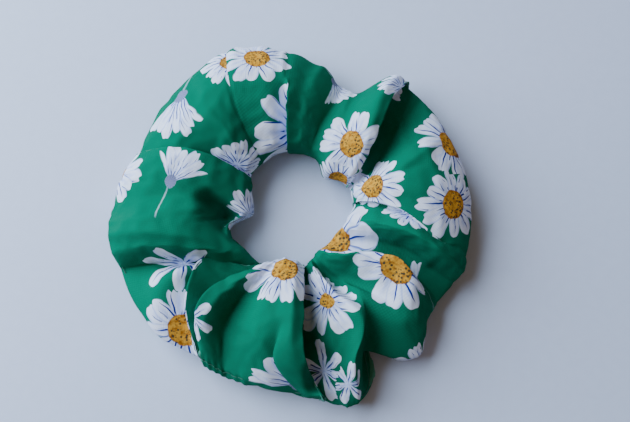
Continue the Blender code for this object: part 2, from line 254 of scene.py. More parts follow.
def even_azimuths():
    middles = []
    for row, share in COLUMN_SHARES:
        following = (row + 1) % len(FOLDS)
        turn = 360 if following == 0 else 0
        middles.append(blend(np.mean(FOLDS[row][2]), np.mean(FOLDS[following][2]) + turn, share))
    steady = 360 * np.arange(COLUMNS) / COLUMNS
    reach = int(4 * SMOOTHING)
    bell = np.exp(-0.5 * (np.arange(-reach, reach + 1) / SMOOTHING) ** 2)
    drift = np.pad(np.array(middles) - steady, reach, mode="wrap")
    return steady + np.convolve(drift, bell / bell.sum(), mode="valid")


EVEN_AZIMUTHS = even_azimuths()
print("columns are", round(min(np.diff(EVEN_AZIMUTHS)), 2), "to",
      round(max(np.diff(EVEN_AZIMUTHS)), 2), "degrees apart under the tube")

# %% Hollows that the table is too coarse for
# azimuth, distance from the ring's middle, half length, half width, the way the length runs, and
# depth, with azimuth and way in degrees and the rest in mm
HOLLOWS = (
    (188, 23.6, 9.0, 3.6, -45, 15),
    (277.3, 52, 6.5, 3.4, 80, 9),
)
LEAST_HEIGHT = 9.7 * MM          # of the cloth over the elastic
LEAST_BESIDE = 3 * MM            # and beside it
OVER_ELASTIC = 24.5              # distance from the ring's middle in mm where that begins


def hollowed(place, height):
    """The height of a place on top of the cloth, once the hollows have pressed it down."""
    for azimuth, distance, half_length, half_width, way, depth in HOLLOWS:
        middle = Vector((distance * MM, 0))
        middle.rotate(Matrix.Rotation(math.radians(azimuth), 2))
        offset = place - middle
        offset.rotate(Matrix.Rotation(math.radians(-way), 2))
        apart = (offset.x / (half_length * MM)) ** 2 + (offset.y / (half_width * MM)) ** 2
        lowered = height - depth * MM * math.exp(-apart ** 3)
        over_elastic = smooth(max(0.0, min(1.0, (place.length / MM - OVER_ELASTIC) / 2)))
        height = max(lowered, min(height, LEAST_HEIGHT) * over_elastic,
                     min(height, LEAST_BESIDE))
    return height


# %% The place of every point
EVENED_BELOW = 1.6               # how soon below its edge the tube's azimuths even out
HOLLOWED_FROM = 0.45             # share of a fold's swell from which a hollow presses it down


def gathered(column, angle):
    """The place of one point of the pleated cloth."""
    row, share = COLUMN_SHARES[column]
    following = (row + 1) % len(FOLDS)
    turn = 360 if following == 0 else 0
    _, ridge, azimuths, reaches, heights = FOLDS[row]
    _, next_ridge, next_azimuths, next_reaches, next_heights = FOLDS[following]
    outward = (1 + math.cos(angle)) / 2
    climb = flank(share, ridge, next_ridge)

    azimuth = blend(along_stations(azimuths, outward),
                    along_stations(next_azimuths, outward) + turn, share)
    under = smooth(min(1.0, max(0.0, -EVENED_BELOW * math.sin(angle))))
    azimuth = math.radians(blend(azimuth, EVEN_AZIMUTHS[column], under))

    hole = HOLE_RADIUS + blend(reaches[0], next_reaches[0], smooth(share)) * MM
    rim = RIM_RADIUS + blend(reaches[1], next_reaches[1], smooth(share)) * MM
    radius = blend(hole, rim, outward)

    top = blend(along_stations(heights, outward), along_stations(next_heights, outward), climb)
    at_hole = blend(heights[0], next_heights[0], climb) * MM - MEAN_HOLE_HEIGHT
    at_rim = blend(heights[-1], next_heights[-1], climb) * MM - MEAN_RIM_HEIGHT
    edge = EDGE_HEIGHT + blend(EDGE_FOLLOWS_HOLE * at_hole, EDGE_FOLLOWS_RIM * at_rim, outward)
    swell = abs(math.sin(angle)) ** FULLNESS
    if math.sin(angle) >= 0:
        height = edge + (top * MM - edge) * swell
        if swell > HOLLOWED_FROM:
            place = Vector((radius * math.cos(azimuth), radius * math.sin(azimuth)))
            pressed = smooth(min(1.0, (swell - HOLLOWED_FROM) / 0.3))
            height = blend(height, hollowed(place, height), pressed)
    else:
        drawn_up = UNDER_PLEAT * (1 - blend(ridge, next_ridge, climb))
        height = edge + (drawn_up - edge) * min(1.0, SOLE_SPREAD * swell)
    return RING_CENTRE + Vector((radius * math.cos(azimuth), radius * math.sin(azimuth),
                                 height + TABLE_GAP))


print("a point on the front ridge", [round(value / MM, 1) for value in
                                     gathered(COLUMNS // 2, math.pi / 2)], "mm")

# %% [markdown]
# ## The cloth tube
#
# The real tube is a strip of cotton sewn into a sleeve. Its section is drawn once as a loop of
# points and spun round Z, which gives clean rows and columns of quads. Every vertex is then
# moved to its gathered place. The spin merges its ends, and that leaves the edges in an order
# which changes from run to run. The springs of the cloth follow that order, so the mesh is
# written out in a fixed one, or no two drapings would be alike.

# %% Spin the tube and gather it
PLAIN_RING = 2.0                 # sizes of the plain ring, before it is gathered
PLAIN_TUBE = 1.0
SECTION = ([math.pi * index / TOP_POINTS for index in range(TOP_POINTS)]
           + [math.pi * (1 + index / SOLE_POINTS) for index in range(SOLE_POINTS)])


def plain_tube():
    """A ring of one section, not yet gathered."""
    tube = bmesh.new()
    points = [tube.verts.new((PLAIN_RING + PLAIN_TUBE * math.cos(angle), 0,
                              PLAIN_TUBE * math.sin(angle))) for angle in SECTION]
    lines = [tube.edges.new((points[index - 1], points[index])) for index in range(len(points))]
    bmesh.ops.spin(tube, geom=points + lines, cent=(0, 0, 0), axis=(0, 0, 1),
                   angle=2 * math.pi, steps=COLUMNS, use_merge=True)
    bmesh.ops.recalc_face_normals(tube, faces=tube.faces)
    return tube


def place_on_ring(vert):
    """The column and the section point that a vertex of the plain tube belongs to."""
    turn = math.atan2(vert.co.y, vert.co.x) / (2 * math.pi) * COLUMNS
    angle = math.atan2(vert.co.z, vert.co.xy.length - PLAIN_RING) % (2 * math.pi)
    nearest = min(range(len(SECTION)), key=lambda index: abs(SECTION[index] - angle))
    if angle > (SECTION[-1] + 2 * math.pi) / 2:
        nearest = 0
    return round(turn) % COLUMNS, nearest


def in_fixed_order(form, name):
    """The form's mesh, with its edges and faces sorted, each begun at its lowest corner."""
    form.verts.index_update()
    edges = sorted(sorted(vert.index for vert in edge.verts) for edge in form.edges)
    loops = []
    for face in form.faces:
        loop = [vert.index for vert in face.verts]
        first = loop.index(min(loop))
        loops.append(loop[first:] + loop[:first])
    ordered = bmesh.new()
    corners = [ordered.verts.new(vert.co) for vert in form.verts]
    for edge in edges:
        ordered.edges.new([corners[index] for index in edge])
    for loop in sorted(loops):
        ordered.faces.new([corners[index] for index in loop])
    mesh = bpy.data.meshes.new(name)
    ordered.to_mesh(mesh)
    ordered.free()
    return mesh


def shown(name, mesh):
    piece = bpy.data.objects.new(name, mesh)
    bpy.context.scene.collection.objects.link(piece)
    return piece


tube = plain_tube()
PLACES = [place_on_ring(vert) for vert in tube.verts]
for vert, (column, point) in zip(tube.verts, PLACES):
    vert.co = gathered(column, SECTION[point])
cloth_mesh = in_fixed_order(tube, "fabric cover")
tube.free()
cloth_mesh.shade_smooth()
cloth = shown("cloth_cover", cloth_mesh)
print(len(cloth_mesh.vertices), "points,", len(cloth_mesh.polygons), "quads")

# %% [markdown]
# ## Draping it
#
# Folds drawn from a table are too smooth. Cloth that is a little too long for its shape
# buckles into the small soft wrinkles that only real cloth has, so Blender's Cloth runs on the
# gathered tube with springs a little longer than the mesh. A pin group holds it: firmly where the
# elastic is, and with a gentle pull to its drawn shape everywhere else, so the pleats stay
# where they were put. A pressure simulation from a flat strip would find its own folds. One
# more vertex group per fold remembers where the folds run, for the seam and the print.

# %% Groups for the pins, the folds and the seams
CLOSING_START, CLOSING_END = 236, 254   # azimuths between which the rim is sewn up last
CLOSING_POINT = 4                # section point, about 2 mm in from the rim, of that stitching
HOLD = 0.35                      # pull to the drawn shape, where 1 is rigid
AT_ELASTIC = -0.93               # cosine of the section angle where the elastic holds it


def is_closing(column):
    offset = gathered(column, 0.0) - RING_CENTRE
    azimuth = math.degrees(math.atan2(offset.y, offset.x)) % 360
    return CLOSING_START <= azimuth <= CLOSING_END


CLOSING_COLUMNS = [column for column in range(COLUMNS) if is_closing(column)]


def pin_cloth(piece):
    hold = piece.vertex_groups.new(name="hold")
    rim = piece.vertex_groups.new(name="rim seam")
    closing = piece.vertex_groups.new(name="closing")
    lines = {column: piece.vertex_groups.new(name=fold) for fold, column in FOLD_COLUMNS.items()}
    for index, (column, point) in enumerate(PLACES):
        side = math.cos(SECTION[point])
        firm = max(0.0, (AT_ELASTIC - side) / (1 + AT_ELASTIC))
        hold.add([index], blend(HOLD, 1.0, firm), "REPLACE")
        if column in lines:
            lines[column].add([index], 1.0, "REPLACE")
        if point == 0:
            rim.add([index], 1.0, "REPLACE")
        if point == CLOSING_POINT and column in CLOSING_COLUMNS:
            closing.add([index], 1.0, "REPLACE")


pin_cloth(cloth)
print(len(cloth.vertex_groups), "groups,", len(CLOSING_COLUMNS), "columns sewn up last")

# %% Run the cloth simulation
SPARE_CLOTH = 0.04               # share by which the springs are longer than the mesh
DRAPE_FRAMES = 20


def table_top():
    """A flat sheet that the cloth comes to rest on while it drapes."""
    sheet = bmesh.new()
    bmesh.ops.create_grid(sheet, x_segments=1, y_segments=1, size=0.2)
    mesh = bpy.data.meshes.new("table top")
    sheet.to_mesh(mesh)
    sheet.free()
    table = shown("table_top", mesh)
    table.modifiers.new("Collision", "COLLISION")
    table.collision.thickness_outer = 1 * MM
    table.collision.cloth_friction = 15
    return table


def drape(piece):
    """Runs Cloth for a few frames, light and limp enough to wrinkle but not to fall."""
    drapery = piece.modifiers.new("Cloth", "CLOTH")
    fibre = drapery.settings
    fibre.quality = 5
    fibre.mass = 0.0003
    fibre.tension_stiffness = fibre.compression_stiffness = 15
    fibre.shear_stiffness = 5
    fibre.bending_stiffness = 0.02
    fibre.air_damping = 1
    fibre.vertex_group_mass = "hold"
    fibre.pin_stiffness = 1
    fibre.shrink_min = -SPARE_CLOTH
    drapery.collision_settings.use_self_collision = False
    drapery.collision_settings.distance_min = 0.6 * MM
    drapery.point_cache.frame_end = DRAPE_FRAMES
    for moment in range(1, DRAPE_FRAMES + 1):
        bpy.context.scene.frame_set(moment)


def keep_result(piece):
    """The piece's mesh as its modifiers leave it, in place of the modifiers."""
    state = bpy.context.evaluated_depsgraph_get()
    mesh = bpy.data.meshes.new_from_object(piece.evaluated_get(state), depsgraph=state,
                                           preserve_all_data_layers=True)
    piece.modifiers.clear()
    piece.data = mesh


table = table_top()
before = [vert.co.copy() for vert in cloth.data.vertices]
drape(cloth)
keep_result(cloth)
bpy.data.objects.remove(table)
draped = [vert.co.copy() for vert in cloth.data.vertices]
moved = [(vert.co - start).length / MM for vert, start in zip(cloth.data.vertices, before)]
print("draping moved the cloth", round(sum(moved) / len(moved), 1), "mm on average,",
      round(max(moved), 1), "mm at most")

# %% [markdown]
# ## A finer mesh, and the seams
#
# The last few centimetres of the rim are sewn up from outside, after the elastic is in. Each
# stitch there draws the cloth down and the next bit of it stands up, so every second column is
# pushed in and the ones between are let out. One level of subdivision then rounds the quads
# off. The cross seam, the seam along the rim and the closing stitches are pressed in by a few
# tenths of a millimetre, because two layers turned inwards always leave a small groove.

# %% Pucker, subdivide and press the seams in
PUCKER = 0.6 * MM
SEAM_DEPTHS = {"cross seam": 0.45 * MM, "rim seam": 0.3 * MM, "closing": 0.3 * MM}
VERTEX_AT = {place: index for index, place in enumerate(PLACES)}


def pucker(piece):
    """Draws the closed stretch of the rim in where every second column is stitched down."""
    for column in CLOSING_COLUMNS:
        for point in range(-1, CLOSING_POINT + 2):
            vert = piece.data.vertices[VERTEX_AT[column, point % len(SECTION)]]
            vert.co += vert.normal * (PUCKER if column % 2 else -PUCKER)


def subdivide(piece):
    finer = piece.modifiers.new("finer", "SUBSURF")
    finer.levels = finer.render_levels = 1
    keep_result(piece)


def in_group(piece, name, least=0.9):
    number = piece.vertex_groups[name].index
    return {vert.index for vert in piece.data.vertices
            for member in vert.groups if member.group == number and member.weight > least}


pucker(cloth)
subdivide(cloth)
seam_line = in_group(cloth, "cross seam")
for seam, depth in SEAM_DEPTHS.items():
    for index in in_group(cloth, seam):
        vert = cloth.data.vertices[index]
        vert.co -= vert.normal * depth
print(len(cloth.data.vertices), "points after subdivision,", len(seam_line), "on the seam")

# %% [markdown]
# ## Where the daisies fall
#
# A print is flat on the cloth and bends with it, so each blossom needs flat coordinates that
# follow the folds. From the blossom's middle, the map spreads from vertex to vertex: each step
# is laid down flat in the tangent plane and the plane is carried on to the next vertex. This
# is a discrete exponential map, and unlike a projection it doesn't stretch on a steep flank.
#
# Each row places one blossom by its azimuth and distance from the ring's middle. An open one
# is turned by any angle, and a side view points where its petals go. The heartless ones are
# those whose middle a deep pleat hides: the pleats of the model hide less cloth than real
# ones. The sides and the underside are filled in at random, with a fixed seed.

# %% The blossoms on top
OPEN, SMALL_HEARTED, HEARTLESS, FEW_PETALLED, SIDE = 1, 0.78, 0.5, 0.35, 2
BLOSSOM = 10.4 * MM              # radius of an ordinary open daisy

# kind, azimuth in degrees and distance from the ring's middle in mm of a point on the cloth, the
# heading of the petals there, scale, and how far short of that point the blossom's middle is in
# mm. A fold's name in place of the azimuth hides a middle in that fold, and the names at the
# end are the folds that swallow the rest of the blossom.
BLOSSOMS = (
    (OPEN, 117.5, 54.5, 180, 1.1, 3.0),
    (OPEN, 106, 51, 60, 1.2, 0),
    (SIDE, 136.7, 52.5, -90, 1.1, 0),
    (SIDE, 170.2, 41, 62, 0.87, 0),
    (OPEN, 168, 53, -12, 1.2, 10.5),
    (HEARTLESS, 142, 25, 90, 0.95, 2.5, "narrow lobe's edge"),
    (HEARTLESS, 187, 18, 160, 0.9, 2),
    (HEARTLESS, "under the back tuck", 26, 178, 1.75, 4, "back tuck"),
    (SIDE, 75.4, 45.4, -62, 0.65, 0),
    (OPEN, 49.6, 25.5, 5, 1.15, 0),
    (OPEN, 15.8, 24, 40, 1.15, 0),
    (HEARTLESS, "rolled ridge's edge", 51, 10, 0.9, 0),
    (OPEN, 23.1, 53, 33, 1.3, 0),
    (OPEN, 0, 48.7, 8, 1.2, 0),
    (HEARTLESS, "right crease", 36, -70, 0.85, 3, "right lobe's edge"),
    (OPEN, 317, 15, 25, 1.7, 0, "front right ridge"),
    (SIDE, 328, 46.5, 112, 0.7, 0, "front right ridge"),
    (OPEN, 326.5, 36.3, 0, 1.6, 0, "right valley"),
    (OPEN, 258, 21, 12, 1.3, 0),
    (SMALL_HEARTED, 287.5, 31.7, 44, 1.2, 0),
    (FEW_PETALLED, 278.8, 52, 100, 1.0, 0),
    (FEW_PETALLED, 285.5, 58, -50, 0.8, 0),
    (SIDE, "under the front ridge", 56.5, 176, 1.15, 0, "front ridge's left edge"),
    (FEW_PETALLED, "front left valley", 41, 70, 1.4, 0, "small tuck"),
    (OPEN, 226.5, 52.5, 40, 1.45, 0, "small tuck"),
    (FEW_PETALLED, 229, 43.5, 30, 0.8, 5.0, "front left crease"),
    (OPEN, 221, 20, 200, 0.95, 1),
    (HEARTLESS, 306, 59, 100, 0.9, 5),
)

# %% Spread flat coordinates over the cloth
SPREAD = 19 * MM                 # how far from its middle a blossom's coordinates reach
MOST_STRETCH = 1.5               # by which a step that leaves the tangent plane is made up
NEVER_ZERO = 1e-9


def read_surface(mesh):
    """The places and normals of a mesh's vertices, and the vertices around each."""
    places = [vert.co.copy() for vert in mesh.vertices]
    normals = [vert.normal.copy() for vert in mesh.vertices]
    around = [set() for _ in places]
    for face in mesh.polygons:
        for vert in face.vertices:
            around[vert].update(face.vertices)
    return places, normals, around


def carried(direction, normal, next_normal):
    """A tangent direction, carried by the smallest turn to the next vertex's plane."""
    return direction - ((normal + next_normal)
                        * (direction.dot(next_normal) / (1.0001 + normal.dot(next_normal))))


def flat_coordinates(start, heading, reach, surface, stops):
    """Flat coordinates of every vertex near start, as {vertex: (x, y)}, ending at the stops."""
    places, normals, around = surface
    toward = heading - normals[start] * heading.dot(normals[start])
    settled = {}
    axes = {start: toward.normalized()}
    flat = {start: (0.0, 0.0)}
    queue = [(0.0, start)]
    while queue:
        distance, here = heapq.heappop(queue)
        if here in settled or distance > reach:
            continue
        if here != start:
            total_x = total_y = weights = 0.0
            axis = Vector((0, 0, 0))
            for near in around[here]:
                if near == here or near not in settled:
                    continue
                x_axis = axes[near]
                normal = normals[near]
                step = places[here] - places[near]
                length = step.length + NEVER_ZERO
                step_x = step.dot(x_axis)
                step_y = step.dot(normal.cross(x_axis))
                stretch = min(length / (math.hypot(step_x, step_y) + NEVER_ZERO), MOST_STRETCH)
                weight = 1 / length
                total_x += weight * (flat[near][0] + step_x * stretch)
                total_y += weight * (flat[near][1] + step_y * stretch)
                axis += carried(x_axis, normal, normals[here]) * weight
                weights += weight
            axes[here] = axis.normalized()
            flat[here] = (total_x / weights, total_y / weights)
        settled[here] = distance
        if here in stops and here != start:
            continue
        for near in around[here]:
            if near not in settled:
                step = (places[near] - places[here]).length
                heapq.heappush(queue, (distance + step, near))
    return {vert: flat[vert] for vert in settled}


# %% Find the blossoms' places on the cloth
UPPER_SIDE = 8 * MM              # height over which a vertex is on the tube's upper side
SURFACE = read_surface(cloth.data)
SPOTS, NORMALS, _ = SURFACE
cloth_tree = BVHTree.FromPolygons(SPOTS, [tuple(face.vertices) for face in cloth.data.polygons])


def vertex_below(azimuth, distance):
    """The vertex on top of the cloth at a place in plan, given by an azimuth or a fold."""
    if isinstance(azimuth, str):
        return min((vert for vert in in_group(cloth, azimuth) if SPOTS[vert].z > UPPER_SIDE),
                   key=lambda vert: abs((SPOTS[vert] - RING_CENTRE).xy.length - distance))
    turn = math.radians(azimuth)
    out = Vector((math.cos(turn), math.sin(turn), 0))
    above = RING_CENTRE + out * distance + Vector((0, 0, 1))
    _, _, face, _ = cloth_tree.ray_cast(above, Vector((0, 0, -1)))
    if face is None:
        return vertex_below(azimuth, distance - MM)
    return min(cloth.data.polygons[face].vertices,
               key=lambda vert: (SPOTS[vert].xy - above.xy).length)


# %% Give every face its blossom
LEAST_APART = 23 * MM            # between the middles of two blossoms that are filled in
FACES_DOWN = -0.5                # height of a normal up to which blossoms are filled in
random.seed(7)


def filled_in(placed):
    """More blossoms, as rows like those placed, for the sides and the underside."""
    chosen = []
    order = list(range(len(SPOTS)))
    random.shuffle(order)
    for vert in order:
        if NORMALS[vert].z > FACES_DOWN:
            continue
        if all((SPOTS[vert] - SPOTS[other[1]]).length
               > LEAST_APART * (other[3] + 1) / 2 for other in placed + chosen):
            chosen.append((random.choice((OPEN, OPEN, SIDE)), vert,
                           random.uniform(0, 360), random.uniform(0.9, 1.1), 0.0, ()))
    return chosen


def blossom_map(blossom):
    """Flat coordinates round a blossom's middle, as {vertex: (x, y)}."""
    _, vert, heading, scale, short, swallowed = blossom
    turn = math.radians(heading)
    toward = Vector((math.cos(turn), math.sin(turn), 0.01))
    stops = seam_line.union(*(in_group(cloth, fold) for fold in swallowed))
    flat = flat_coordinates(vert, toward, SPREAD * scale, SURFACE, stops)
    return {near: (x + short, y) for near, (x, y) in flat.items()}


def print_cloth(piece):
    """Gives every face the blossom that is nearest in its own size, and its coordinates there."""
    mesh = piece.data
    placed = [(kind, vertex_below(azimuth, distance * MM), heading, scale, short * MM, swallowed)
              for kind, azimuth, distance, heading, scale, short, *swallowed in BLOSSOMS]
    placed += filled_in(placed)
    faces_at = [[] for _ in mesh.vertices]
    for face in mesh.polygons:
        for vert in face.vertices:
            faces_at[vert].append(face.index)
    nearest = [(math.inf, None)] * len(mesh.polygons)
    maps = [blossom_map(blossom) for blossom in placed]
    for number, flat in enumerate(maps):
        size = BLOSSOM * placed[number][3]
        touched = {face for near in flat for face in faces_at[near]}
        for face in touched:
            corners = mesh.polygons[face].vertices
            if all(corner in flat for corner in corners):
                away = max(math.hypot(*flat[corner]) for corner in corners) / size
                if away < nearest[face][0]:
                    nearest[face] = (away, number)
    petals = mesh.uv_layers.new(name="print").data
    which = mesh.uv_layers.new(name="blossom").data
    for face, (away, number) in zip(mesh.polygons, nearest):
        for loop in face.loop_indices:
            if number is None:
                which[loop].uv = (0, 0)
                continue
            kind, scale = placed[number][0], placed[number][3]
            x, y = maps[number][mesh.loops[loop].vertex_index]
            petals[loop].uv = (x / (BLOSSOM * scale), y / (BLOSSOM * scale))
            which[loop].uv = (kind, number)
    return len(placed), sum(number is None for _, number in nearest)


print("blossoms and faces without one:", print_cloth(cloth))

# %% [markdown]
# ## Shader maths, written as Python
#
# A printed pattern is a long sum of small formulas, and a node for each would be unreadable.
# This class wraps one socket and lets Python's operators add the Math nodes.

# %% A socket that can be calculated with
class Shade:
    """A value that varies over a surface. Operators on it add Math nodes to its tree."""

    def __init__(self, socket):
        self.socket = socket
        self.tree = socket.id_data

    def calculate(self, operation, *values):
        inputs = dict(enumerate((self, *values)))
        return Shade(add_node(self.tree, "ShaderNodeMath", {"operation": operation},
                              inputs).outputs[0])

    def __add__(self, other):
        return self.calculate("ADD", other)

    __radd__ = __add__

    def __mul__(self, other):
        return self.calculate("MULTIPLY", other)

    __rmul__ = __mul__

    def __sub__(self, other):
        return self.calculate("SUBTRACT", other)

    def __rsub__(self, other):
        return (self * -1) + other

    def __truediv__(self, other):
        return self.calculate("DIVIDE", other)

    def __pow__(self, power):
        return self.calculate("POWER", power)

    def __abs__(self):
        return self.calculate("ABSOLUTE")

    def __mod__(self, other):
        return self.calculate("FLOORED_MODULO", other)

    def least(self, other):
        return self.calculate("MINIMUM", other)

    def most(self, other):
        return self.calculate("MAXIMUM", other)

    def share(self, start, end):
        """0 where this is start or less, 1 where it is end or more, and smooth between."""
        return Shade(add_node(self.tree, "ShaderNodeMapRange",
                              {"interpolation_type": "SMOOTHSTEP"},
                              {"Value": self, "From Min": start, "From Max": end}).outputs[0])


def add_node(tree, kind, settings=None, inputs=None):
    """A node of any kind: its settings first, then the values or links of its sockets."""
    node = tree.nodes.new(kind)
    for name, value in (settings or {}).items():
        setattr(node, name, value)
    for name, value in (inputs or {}).items():
        if isinstance(value, Shade):
            tree.links.new(value.socket, node.inputs[name])
        else:
            node.inputs[name].default_value = value
    return node


FACTOR, FIRST, SECOND, MIXED = 0, 6, 7, 2     # the Mix node's sockets for colours


def mix(tree, share, first, second):
    """A colour between two others."""
    return Shade(add_node(tree, "ShaderNodeMix", {"data_type": "RGBA", "clamp_factor": True},
                          {FACTOR: share, FIRST: first, SECOND: second}).outputs[MIXED])


def colour(red, green, blue):
    """A colour picked on a 0 to 255 screen scale, as the linear one that a shader needs."""
    linear = [((part / 255 + 0.055) / 1.055) ** 2.4 if part > 10 else part / 255 / 12.92
              for part in (red, green, blue)]
    return (*linear, 1.0)


def new_finish(name, constants):
    """A material, its node tree and its Principled shader, with constant sockets set."""
    finish = bpy.data.materials.new(name)
    finish.use_nodes = True
    shader = finish.node_tree.nodes["Principled BSDF"]
    for socket, value in constants.items():
        shader.inputs[socket].default_value = value
    return finish, finish.node_tree, shader


def connect(shader, tone, height=None, strength=1.0, depth=0.0):
    """Gives a shader its colour and, where there is a height, the bumps that it makes."""
    tree = tone.tree
    tree.links.new(tone.socket, shader.inputs["Base Color"])
    if height is not None:
        raised = add_node(tree, "ShaderNodeBump", {}, {"Strength": strength, "Distance": depth,
                                                       "Height": height})
        tree.links.new(raised.outputs["Normal"], shader.inputs["Normal"])


print("half of a screen's white is", round(colour(128, 128, 128)[0], 3), "of its light")

# %% [markdown]
# ## The printed cotton
#
# The ground is a saturated green. Each blossom is drawn in its own flat coordinates, in which
# an ordinary one has a radius of 1: two rows of petals, the upper over the lower, blue pen
# strokes that run out from the middle, and a stippled yellow heart. Petals differ in length and
# lean by a random number that belongs to the petal. A blossom seen from the side is the same
# row of petals opened to a fan, with a grey cup and a thin stem.

# %% Colours of the print, and its chances
GROUND = colour(0, 110, 80)
GROUND_DEEP = colour(0, 97, 71)
PETAL = colour(224, 228, 240)
PETAL_SHADE = colour(152, 172, 224)
STROKE = colour(24, 44, 124)
HEART = colour(208, 150, 50)
HEART_SHADE = colour(140, 82, 24)
STIPPLE = colour(30, 48, 44)
CUP = colour(128, 132, 158)
STEM = colour(120, 184, 166)
print("the ground's green is", [round(part, 3) for part in GROUND[:3]])


def randomly(tree, *parts):
    """A random number from 0 to 1 that stays the same where the parts do."""
    joined = add_node(tree, "ShaderNodeCombineXYZ", {}, dict(enumerate(parts)))
    noise = add_node(tree, "ShaderNodeTexWhiteNoise", {"noise_dimensions": "3D"},
                     {"Vector": Shade(joined.outputs[0])})
    return Shade(noise.outputs["Value"])


def wavering(tree, x, y, seed, scale, detail=1.0):
    """Smooth noise from -0.5 to 0.5 in a blossom's own coordinates."""
    joined = add_node(tree, "ShaderNodeCombineXYZ", {}, {0: x, 1: y, 2: seed * 37})
    noise = add_node(tree, "ShaderNodeTexNoise", {"noise_dimensions": "3D"},
                     {"Vector": Shade(joined.outputs[0]), "Scale": scale, "Detail": detail})
    return Shade(noise.outputs["Fac"]) - 0.5


# %% Petals as formulas
def petal_row(tree, away, turn, seed, count, length, width, first=0.0):
    """One row of petals. Gives its mask, the share along a petal, the share across, its number.

    turn is the direction in whole turns, and first shifts the row round.
    """
    spaced = turn * count + first
    number = spaced.calculate("ROUND")
    own = (number % count).calculate("ROUND")
    chance = randomly(tree, own, seed, first * 8 + count)
    lean = randomly(tree, own, seed + 0.5, first * 8 + count)
    off = (spaced - number + (lean - 0.5) * 0.3) * (2 * math.pi / count)
    along = away * off.calculate("COSINE")
    across = away * off.calculate("SINE")
    reach = (chance * 0.2 + 0.86) * length
    notch = (1 - abs(across / width + (lean - 0.5) * 0.7).share(0.0, 0.4)) * chance * 0.1
    share = (along / reach + notch).most(0.0)
    half = share ** 0.55 * (1 - (share.least(1.0) ** 5)).most(0.0).calculate("SQRT") * width
    mask = (half - abs(across)).share(-0.01, 0.015) * (1 - share.share(0.985, 1.0))
    return mask, share, across / half.most(0.02), own


def strokes(tree, share, across, own, seed, lines, until):
    """Pen strokes along a petal, each with its own length, thinner towards its end."""
    spread = across * lines * (share * 0.3 + 0.7) + own * 0.37
    stroke = spread.calculate("ROUND")
    end = randomly(tree, stroke, own, seed) * 0.6 + until - 0.3
    thick = (1 - (share / end) ** 3).most(0.0) * 0.19
    pressed = randomly(tree, stroke, (share * 6).calculate("FLOOR"), own + seed * 16)
    ink = (thick - abs(spread - stroke)).share(0.0, 0.05) * share.share(0.1, 0.2)
    return ink * pressed.share(0.1, 0.25)


def petal_colour(tree, row, seed, soft, lines, until):
    """A petal's white, washed with blue along its middle and one edge, with its strokes."""
    _, share, across, own = row
    middle = 1 - abs(across + soft).share(0.0, 0.45)
    washed = middle * (1 - share.share(0.55, 0.95)) * 0.55 + across.share(0.5, 1.0) * 0.5 \
        + (1 - share.share(0.25, 0.5)) * 0.3 + soft * 0.5
    tone = mix(tree, washed.most(0.0), PETAL, PETAL_SHADE)
    return mix(tree, strokes(tree, share, across, own, seed, lines, until), tone, STROKE)


def lay_rows(tree, rows, seed, soft, lines=1.25, until=0.74):
    """Rows of petals laid over each other, the first at the bottom, as a mask and a colour."""
    mask, tone = None, None
    for row in rows:
        own_tone = petal_colour(tree, row, seed, soft, lines, until)
        if mask is None:
            mask, tone = row[0], own_tone
            continue
        rim = abs(row[2]).share(0.72, 1.0) * row[0] * 0.7
        own_tone = mix(tree, rim, own_tone, PETAL_SHADE)
        tone = mix(tree, row[0], tone, own_tone)
        mask = mask.most(row[0])
    return mask, tone


# %% Two kinds of blossom
def open_blossom(tree, x, y, away, turn, soft, kind, seed):
    """Two rows of petals round a heart, as a mask and a colour. The kind sizes the heart."""
    lower = petal_row(tree, away, turn, seed, 6, 1.03, 0.25)
    upper = petal_row(tree, away, turn, seed, 6, 0.97, 0.225, first=0.5)
    upper = (upper[0] * kind.share(0.38, 0.45), *upper[1:])
    mask, tone = lay_rows(tree, (lower, upper), seed, soft)
    heart_x = x * 1.08
    heart_away = (heart_x * heart_x + y * y).calculate("SQRT") + soft * 0.12
    heart_edge = (kind - 0.5).least(0.5) * 0.72
    heart_mask = 1 - (heart_away - heart_edge).share(-0.005, 0.02)
    flat = add_node(tree, "ShaderNodeUVMap", {"uv_map": "print"})
    dots = add_node(tree, "ShaderNodeTexVoronoi", {"feature": "F1"},
                    {"Vector": Shade(flat.outputs[0]), "Scale": 15.0, "Randomness": 1.0})
    dot = 1 - Shade(dots.outputs["Distance"]).share(0.26, 0.5)
    crowd = heart_away.share(0.0, 0.36) + wavering(tree, x, y, seed, 5.0) * 3.0
    speckle = dot * crowd.share(-0.1, 0.25)
    mottle = wavering(tree, x, y, seed + 7, 11.0, 3.0) * 3.6
    heart_tone = mix(tree, heart_away.share(0.2, 0.42) * 0.5 + mottle + 0.25, HEART, HEART_SHADE)
    heart_tone = mix(tree, speckle * 0.9, heart_tone, STIPPLE)
    return mask.most(heart_mask), mix(tree, heart_mask, tone, heart_tone)


